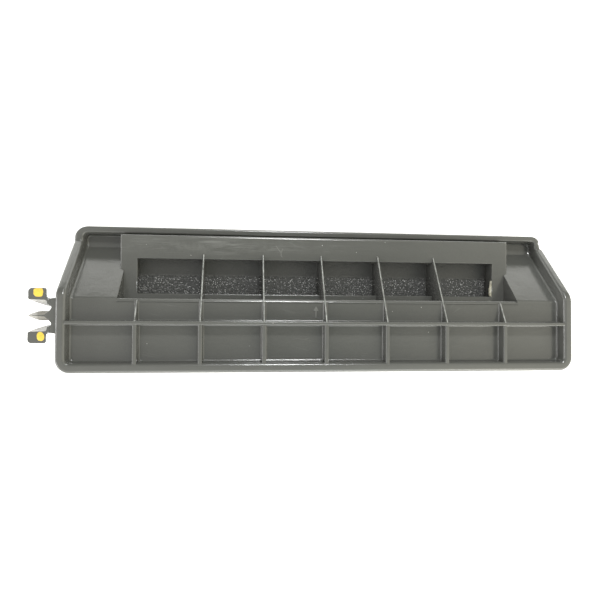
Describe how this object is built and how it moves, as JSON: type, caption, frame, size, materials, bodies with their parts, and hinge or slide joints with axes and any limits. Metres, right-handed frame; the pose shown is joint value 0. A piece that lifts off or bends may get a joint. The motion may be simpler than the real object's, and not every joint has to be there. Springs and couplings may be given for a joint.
{
  "type": "air filter housing",
  "caption": "Long intake filter housing: a rimmed tray leaning back at a ribbed window, with a foam element behind it and a pinch latch at one end.",
  "frame": {"origin": "middle of the bounding box at the rear rim, the face the part rests on", "axes": "+X along the length, away from the end clip; +Y up the face, the way the arrow points; +Z out of the face, towards the person who clips it in"},
  "size_m": [0.274, 0.074, 0.044],
  "materials": {
    "frame_plastic": "moulded, satin",
    "retainer_plastic": "moulded, satin",
    "filter_foam": "open-cell foam",
    "yellow_paint": "paint dab"
  },
  "bodies": {
    "housing": {"rim_bottom": "frame_plastic", "rim_left": "frame_plastic", "rim_right": "frame_plastic", "rim_top": "frame_plastic", "tray_floor": "frame_plastic", "slope_panel_left": "frame_plastic", "slope_panel_right": "frame_plastic", "upper_ledge_left": "frame_plastic", "upper_ledge_right": "frame_plastic", "ledge_strip": "frame_plastic", "window_plate": "frame_plastic", "sill_shelf": "frame_plastic", "box_side_left": "frame_plastic", "box_side_right": "frame_plastic", "box_top_wall": "frame_plastic", "cross_rib": "frame_plastic", "rib_1": "frame_plastic", "rib_2": "frame_plastic", "rib_3": "frame_plastic", "rib_4": "frame_plastic", "rib_5": "frame_plastic", "rib_6": "frame_plastic", "rib_7": "frame_plastic", "direction_arrow": "frame_plastic", "clip_base": "frame_plastic", "locating_spear": "frame_plastic"},
    "latch_upper": {"latch_arm_upper": "frame_plastic", "latch_mark_upper": "yellow_paint"},
    "latch_lower": {"latch_arm_lower": "frame_plastic", "latch_mark_lower": "yellow_paint"},
    "retainer": {"retainer_frame": "retainer_plastic", "retainer_bars": "retainer_plastic"},
    "filter": {"foam_element": "filter_foam"}
  },
  "joints": [
    {"name": "latch_upper_flex", "type": "hinge", "parent": "housing", "child": "latch_upper", "pos_m": [-0.1272, -0.003, 0.03725], "axis": [0, 0, 1], "range_deg": [0, 8], "stiffness_Nm_per_rad": 0.3},
    {"name": "latch_lower_flex", "type": "hinge", "parent": "housing", "child": "latch_lower", "pos_m": [-0.1272, -0.0162, 0.03725], "axis": [0, 0, -1], "range_deg": [0, 8], "stiffness_Nm_per_rad": 0.3},
    {"name": "retainer_release", "type": "slide", "parent": "housing", "child": "retainer", "axis": [0, 0, -1], "range_m": [0, 0.03]},
    {"name": "filter_release", "type": "slide", "parent": "housing", "child": "filter", "axis": [0, 0, -1], "range_m": [0, 0.015]}
  ],
  "couplings": [
    {"joint": "filter_release", "follows": "retainer_release", "ratio": 0.5}
  ]
}
